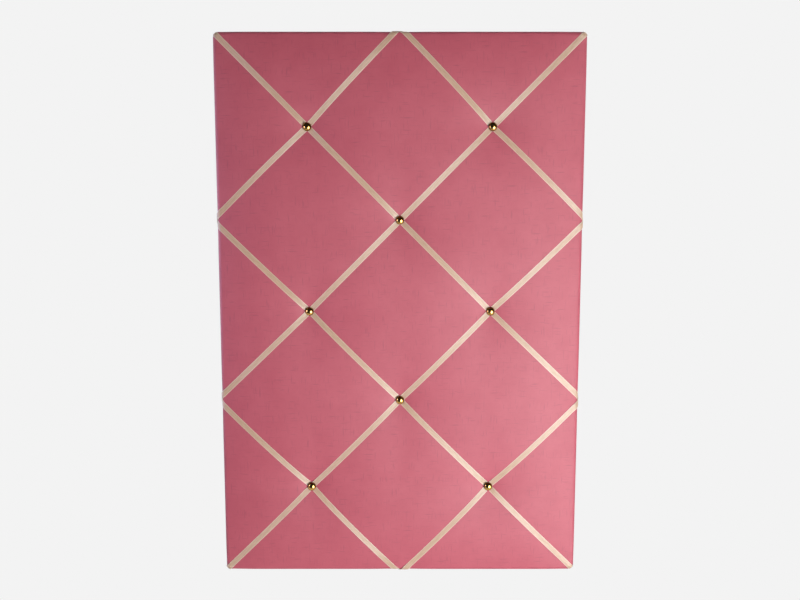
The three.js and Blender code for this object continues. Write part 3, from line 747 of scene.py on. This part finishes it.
for stud, nail in zip(STUDS, nails):
    low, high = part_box(stud)
    brass_nail = first_nail.copy()
    brass_nail.data = first_nail.data.copy()
    brass_nail.name = f"brass_nail_{stud[-1]}"
    bpy.context.scene.collection.objects.link(brass_nail)
    brass_nail.data.transform(Matrix.Translation((nail.x, low.y + HEAD_HEIGHT - HEAD_RIM, nail.y)))
    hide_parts(stud)
    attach(brass_nail, "board")
bpy.data.objects.remove(first_nail)

# Staples
# Staples bent from flat steel wire, driven through cloth and ribbon into the panel. They hold the hem
# and the ribbons' tails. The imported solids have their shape, so they only get a finish.

# Zinc-plated steel: a cool grey metal, bright but not polished, with fine cloudy plating.
zinc_steel = new_material("zinc_plated_steel")
PLATING_SIZE = 2 * MM
place = add_node(zinc_steel, "ShaderNodeTexCoord", {})
plating = add_node(zinc_steel, "ShaderNodeTexNoise", {
    "Vector": place.outputs["Object"], "Scale": 1 / PLATING_SIZE, "Detail": 5, "Roughness": 0.65})
dullness = add_node(zinc_steel, "ShaderNodeMapRange", {
    "Value": plating.outputs["Fac"], "From Min": 0.3, "From Max": 0.7, "To Min": 0.24, "To Max": 0.42})
clouded = add_node(zinc_steel, "ShaderNodeMix", {
    0: plating.outputs["Fac"], 6: linear("#A9AEB4"), 7: linear("#CDD0D3")}, data_type="RGBA")
surface = add_node(zinc_steel, "ShaderNodeBsdfPrincipled", {
    "Base Color": clouded.outputs[2], "Metallic": 1, "Roughness": dullness.outputs["Result"]})
add_node(zinc_steel, "ShaderNodeOutputMaterial", {"Surface": surface.outputs["BSDF"]})

for name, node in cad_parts.items():
    if "staple" in name:
        node.data.materials.clear()
        node.data.materials.append(zinc_steel)

# Hangers
# Two D-ring hangers of zinc-plated steel: a pressed strap curled round the bar of a wire ring, and a
# pan-head screw through the strap's round end into the panel.

STRAP_WIDTH = 10 * MM
STRAP_LENGTH = 32 * MM
STRAP_THICKNESS = 1.2 * MM
STRAP_CURL = math.radians(280)
STRAP_ROUND = 0.49 * STRAP_WIDTH
STRAP_EDGE = 0.2 * MM
EYE_OUTSIDE = 2.6 * MM
RING_WIRE = 2.2 * MM
RING_HALF_WIDTH = 9 * MM
RING_REACH = 15 * MM
RING_CORNER = 3 * MM
RING_END_GAP = 0.4 * MM
SCREW_HEAD_RADIUS = 3.5 * MM
SCREW_HEAD_HEIGHT = 2.2 * MM
SCREW_HEAD_RIM = 0.7 * MM
SCREW_SHANK_RADIUS = 1.5 * MM
SCREW_POINT = 2.5 * MM
SCREW_TIP = 0.08 * SCREW_SHANK_RADIUS
SCREW_CROWN_TURNS = np.radians([15, 30, 45, 60, 75])
SCREW_LENGTH = 8.7 * MM
RECESS_WIDTH = 0.9 * MM
RECESS_LENGTH = 3.8 * MM
RECESS_DEPTH = 1.2 * MM


def select_points(piece, test):
    """Selects the points of a piece in edit mode whose place passes a test."""
    bpy.ops.mesh.select_all(action="DESELECT")
    mesh = bmesh.from_edit_mesh(piece.data)
    for point in mesh.verts:
        point.select = test(point.co)
    mesh.select_flush(True)
    bmesh.update_edit_mesh(piece.data)


def extrude_edges(x, y, z):
    bpy.ops.mesh.extrude_edges_move(TRANSFORM_OT_translate={"value": (x, y, z)})


eye_y = EYE_OUTSIDE
eye_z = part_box("hanger_strap_left")[1].z - EYE_OUTSIDE

deselect()
bpy.ops.mesh.primitive_plane_add(
    size=1, location=(0, STRAP_THICKNESS / 2, eye_z - STRAP_LENGTH / 2), rotation=(math.pi / 2, 0, 0))
first_strap = bpy.context.object
first_strap.scale = (STRAP_WIDTH, STRAP_LENGTH, 1)
bpy.ops.object.transform_apply(location=True, rotation=True, scale=True)
bpy.ops.object.mode_set(mode="EDIT")
select_points(first_strap, lambda place: place.z < eye_z - STRAP_LENGTH / 2)
bpy.ops.mesh.bevel(offset=STRAP_ROUND, segments=10, affect="VERTICES")
select_points(first_strap, lambda place: place.z > eye_z - MM)
bpy.ops.mesh.spin(steps=28, angle=STRAP_CURL, center=(0, eye_y, eye_z), axis=(-1, 0, 0))
bpy.ops.mesh.select_all(action="SELECT")
bpy.ops.mesh.normals_make_consistent(inside=False)
bpy.ops.object.mode_set(mode="OBJECT")
wall = first_strap.modifiers.new("Strap wall", "SOLIDIFY")
wall.thickness = STRAP_THICKNESS
wall.offset = 0
eased = first_strap.modifiers.new("Eased edges", "BEVEL")
eased.width = STRAP_EDGE
eased.segments = 2
eased.limit_method = "ANGLE"
eased.angle_limit = math.radians(50)
apply_modifiers(first_strap)
bpy.ops.object.shade_smooth_by_angle(angle=math.radians(40))

bar = RING_HALF_WIDTH - RING_CORNER
bow_z = eye_z - RING_REACH + RING_HALF_WIDTH
deselect()
bpy.ops.mesh.primitive_circle_add(
    vertices=20, radius=RING_WIRE / 2, location=(RING_END_GAP / 2, eye_y, eye_z),
    rotation=(0, math.pi / 2, 0))
first_ring = bpy.context.object
bpy.ops.object.transform_apply(location=True, rotation=True, scale=True)
bpy.ops.object.mode_set(mode="EDIT")
bpy.ops.mesh.select_all(action="SELECT")
extrude_edges(bar - RING_END_GAP / 2, 0, 0)
bpy.ops.mesh.spin(
    steps=10, angle=math.pi / 2, center=(bar, eye_y, eye_z - RING_CORNER), axis=(0, -1, 0))
extrude_edges(0, 0, bow_z - eye_z + RING_CORNER)
bpy.ops.mesh.spin(steps=40, angle=math.pi, center=(0, eye_y, bow_z), axis=(0, -1, 0))
extrude_edges(0, 0, eye_z - RING_CORNER - bow_z)
bpy.ops.mesh.spin(
    steps=10, angle=math.pi / 2, center=(-bar, eye_y, eye_z - RING_CORNER), axis=(0, -1, 0))
extrude_edges(bar - RING_END_GAP / 2, 0, 0)
bpy.ops.mesh.select_all(action="SELECT")
bpy.ops.mesh.fill_holes(sides=0)
bpy.ops.mesh.normals_make_consistent(inside=False)
bpy.ops.object.mode_set(mode="OBJECT")
bpy.ops.object.shade_smooth_by_angle(angle=math.radians(50))

deselect()
bpy.ops.mesh.primitive_circle_add(
    vertices=32, radius=SCREW_SHANK_RADIUS, location=(0, 0, 0), rotation=(math.pi / 2, 0, 0))
first_screw = bpy.context.object
bpy.ops.object.transform_apply(location=True, rotation=True, scale=True)
bpy.ops.object.mode_set(mode="EDIT")
bpy.ops.mesh.select_all(action="SELECT")
draw_ring(1, SCREW_POINT - SCREW_LENGTH)
draw_ring(SCREW_TIP / SCREW_SHANK_RADIUS, -SCREW_POINT)
bpy.ops.mesh.edge_face_add()
select_points(first_screw, lambda place: place.y > -0.1 * MM)
draw_ring(SCREW_HEAD_RADIUS / SCREW_SHANK_RADIUS, 0)
draw_ring(1, SCREW_HEAD_RIM)
crown = SCREW_HEAD_HEIGHT - SCREW_HEAD_RIM
before = 0
for turn in SCREW_CROWN_TURNS:
    draw_ring(math.cos(turn) / math.cos(before), crown * (math.sin(turn) - math.sin(before)))
    before = turn
bpy.ops.mesh.edge_face_add()
bpy.ops.mesh.select_all(action="SELECT")
bpy.ops.mesh.normals_make_consistent(inside=False)
bpy.ops.object.mode_set(mode="OBJECT")
for width, length in ((RECESS_WIDTH, RECESS_LENGTH), (RECESS_LENGTH, RECESS_WIDTH)):
    deselect()
    bpy.ops.mesh.primitive_cube_add(size=1, location=(0, SCREW_HEAD_HEIGHT, 0))
    bit = bpy.context.object
    bit.scale = (width, 2 * RECESS_DEPTH, length)
    bpy.ops.object.transform_apply(location=True, rotation=True, scale=True)
    recess = first_screw.modifiers.new("Recess", "BOOLEAN")
    recess.object = bit
    recess.solver = "EXACT"
    apply_modifiers(first_screw)
    bpy.data.objects.remove(bit)
bpy.ops.object.shade_smooth_by_angle(angle=math.radians(35))

screw_place = Vector((0, STRAP_THICKNESS, eye_z - STRAP_LENGTH + STRAP_WIDTH / 2))
for side in ("left", "right"):
    low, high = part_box(f"hanger_strap_{side}")
    middle = Vector(((low.x + high.x) / 2, 0, 0))
    for kind, first, offset, body in (
            ("strap", first_strap, Vector(), "board"), ("ring", first_ring, Vector(), f"{side}_ring"),
            ("screw", first_screw, screw_place, "board")):
        piece = first.copy()
        piece.data = first.data.copy()
        piece.name = f"steel_hanger_{kind}_{side}"
        bpy.context.scene.collection.objects.link(piece)
        piece.data.transform(Matrix.Translation(middle + offset))
        piece.data.materials.append(zinc_steel)
        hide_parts(f"hanger_{kind}_{side}")
        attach(piece, body)
for first in (first_strap, first_ring, first_screw):
    bpy.data.objects.remove(first)

# Studio
# A dim room with a pale backdrop behind the board and a pale floor well below it. A large soft lamp
# stands low on the right with a small one above it, two small ones stand on the left, and one hangs
# behind for the floor and the back.

FLOOR_DROP = 0.6
FLOOR_FRONT = -8
FLOOR_BACK = 0.9
FLOOR_HALF_WIDTH = 8
FLOOR_GLOW = 0.85
GLOW_START = -1.1
GLOW_FULL = -0.7
deselect()
floor_z = board_low.z - FLOOR_DROP
bpy.ops.mesh.primitive_plane_add(size=1, location=(0, (FLOOR_FRONT + FLOOR_BACK) / 2, floor_z))
floor = bpy.context.object
floor.name = "floor"
floor.scale = (2 * FLOOR_HALF_WIDTH, FLOOR_BACK - FLOOR_FRONT, 1)
bpy.ops.object.transform_apply(location=True, rotation=True, scale=True)

# Painted boards, matt and even. The camera sees them pale. The nails mirror only the part of them that
# lies near the board, which gives their domes a golden lower edge.
pale_floor = new_material("pale_floor")
path = add_node(pale_floor, "ShaderNodeLightPath", {})
place = add_node(pale_floor, "ShaderNodeTexCoord", {})
depth = add_node(pale_floor, "ShaderNodeSeparateXYZ", {"Vector": place.outputs["Object"]})
behind = add_node(pale_floor, "ShaderNodeMapRange", {
    "Value": depth.outputs["Y"], "From Min": GLOW_START, "From Max": GLOW_FULL})
mirrored = add_node(pale_floor, "ShaderNodeMath", {
    0: path.outputs["Is Glossy Ray"], 1: behind.outputs["Result"]}, operation="MULTIPLY")
seen = add_node(pale_floor, "ShaderNodeMath", {
    0: path.outputs["Is Camera Ray"], 1: mirrored.outputs["Value"]}, operation="MAXIMUM")
share = add_node(pale_floor, "ShaderNodeMath", {
    0: seen.outputs["Value"], 1: FLOOR_GLOW}, operation="MULTIPLY")
lit = add_node(pale_floor, "ShaderNodeBsdfDiffuse", {"Color": linear("#9A9A9A")})
glow = add_node(pale_floor, "ShaderNodeEmission", {"Color": linear("#F3F3F3"), "Strength": 1})
surface = add_node(pale_floor, "ShaderNodeMixShader", {
    0: share.outputs["Value"], 1: lit.outputs["BSDF"], 2: glow.outputs["Emission"]})
add_node(pale_floor, "ShaderNodeOutputMaterial", {"Surface": surface.outputs["Shader"]})
floor.data.materials.append(pale_floor)

# Each lamp's place, what it points at, its width and height in metres, its power in watts and its
# colour. The left glint adds no plain light: only glossy reflections show it.
LAMP_SPREAD = math.radians(112)
LAMPS = [
    ("key_lamp", (0.66, -1.2, -0.38), (0.09, -0.02, -0.06), (0.75, 1.0), 9.3, "#FFFFFF"),
    ("tall_lamp", (0.66, -1.2, 0.24), (0, -0.02, 0), (0.2, 0.4), 0.36, "#FFFFFF"),
    ("left_glint", (-1.05, -0.62, 0.1), (0, -0.02, 0), (0.3, 0.5), 1.7, "#D4CCFF"),
    ("side_lamp", (-1.2, 0.12, 0.1), (-0.2, 0, 0), (0.2, 0.4), 2.4, "#E2DCFF"),
    ("back_lamp", (0.5, 1.3, 0.75), (0, 0, 0), (0.8, 0.8), 7, "#FFFFFF"),
]
for name, place, target, size, power, colour in LAMPS:
    light = bpy.data.lights.new(name, "AREA")
    light.shape = "RECTANGLE"
    light.size, light.size_y = size
    light.energy = power
    light.spread = LAMP_SPREAD
    light.color = linear(colour)[:3]
    lamp = bpy.data.objects.new(name, light)
    lamp.location = place
    lamp.rotation_euler = (Vector(target) - Vector(place)).to_track_quat("-Z", "Y").to_euler()
    lamp.visible_diffuse = name != "left_glint"
    bpy.context.scene.collection.objects.link(lamp)

# The backdrop is pale to the camera and in reflections from behind; the room in front is dim. Both
# change over by how far back a direction points, from 0 at the side to 1 straight back.
ROOM_FILL = 0.05
BACK_FILL = 0.5
BACK_FILL_FROM = 0.5
ROOM_GLOSS = 0.03
MIRROR_START = -0.05
MIRROR_FULL = 0.3
room = bpy.data.worlds.new("studio_room")
room.use_nodes = True
room.node_tree.nodes.clear()
bpy.context.scene.world = room
path = add_node(room, "ShaderNodeLightPath", {})
towards = add_node(room, "ShaderNodeTexCoord", {})
heading = add_node(room, "ShaderNodeSeparateXYZ", {"Vector": towards.outputs["Generated"]})
behind = add_node(room, "ShaderNodeMapRange", {
    "Value": heading.outputs["Y"], "From Min": MIRROR_START, "From Max": MIRROR_FULL,
    "To Min": ROOM_GLOSS, "To Max": 1})
seen = add_node(room, "ShaderNodeMath", {
    0: path.outputs["Is Camera Ray"], 1: path.outputs["Is Transmission Ray"]}, operation="MAXIMUM")
backdrop = add_node(room, "ShaderNodeBackground", {"Color": linear("#F3F3F3"), "Strength": 1})
soft = add_node(room, "ShaderNodeMapRange", {
    "Value": heading.outputs["Y"], "From Min": 0, "From Max": BACK_FILL_FROM,
    "To Min": ROOM_FILL, "To Max": BACK_FILL})
fill = add_node(room, "ShaderNodeBackground", {
    "Color": linear("#E6E4F0"), "Strength": soft.outputs["Result"]})
reflected = add_node(room, "ShaderNodeBackground", {
    "Color": linear("#F3F3F3"), "Strength": behind.outputs["Result"]})
unseen = add_node(room, "ShaderNodeMixShader", {
    0: path.outputs["Is Glossy Ray"], 1: fill.outputs["Background"],
    2: reflected.outputs["Background"]})
shown = add_node(room, "ShaderNodeMixShader", {
    0: seen.outputs["Value"], 1: unseen.outputs["Shader"], 2: backdrop.outputs["Background"]})
add_node(room, "ShaderNodeOutputWorld", {"Surface": shown.outputs["Shader"]})

# Camera
# Level with the board's upper half and a little above its middle, looking slightly down. Its distance
# is measured from the mean plane of the padded face.

FACE_PLANE = -0.0155
CAMERA_DISTANCE = 0.7567
CAMERA_HEIGHT = 0.090
CAMERA_TILT = math.radians(5.85)
CAMERA_LENS = 30.95
camera_data = bpy.data.cameras.new("camera")
camera_data.sensor_fit = "HORIZONTAL"
camera_data.sensor_width = 36
camera_data.lens = CAMERA_LENS
camera = bpy.data.objects.new("camera", camera_data)
camera.location = (0, FACE_PLANE - CAMERA_DISTANCE, CAMERA_HEIGHT)
camera.rotation_euler = (math.pi / 2 - CAMERA_TILT, 0, 0)
bpy.context.scene.collection.objects.link(camera)
bpy.context.scene.camera = camera
bpy.context.scene.view_settings.view_transform = "Standard"
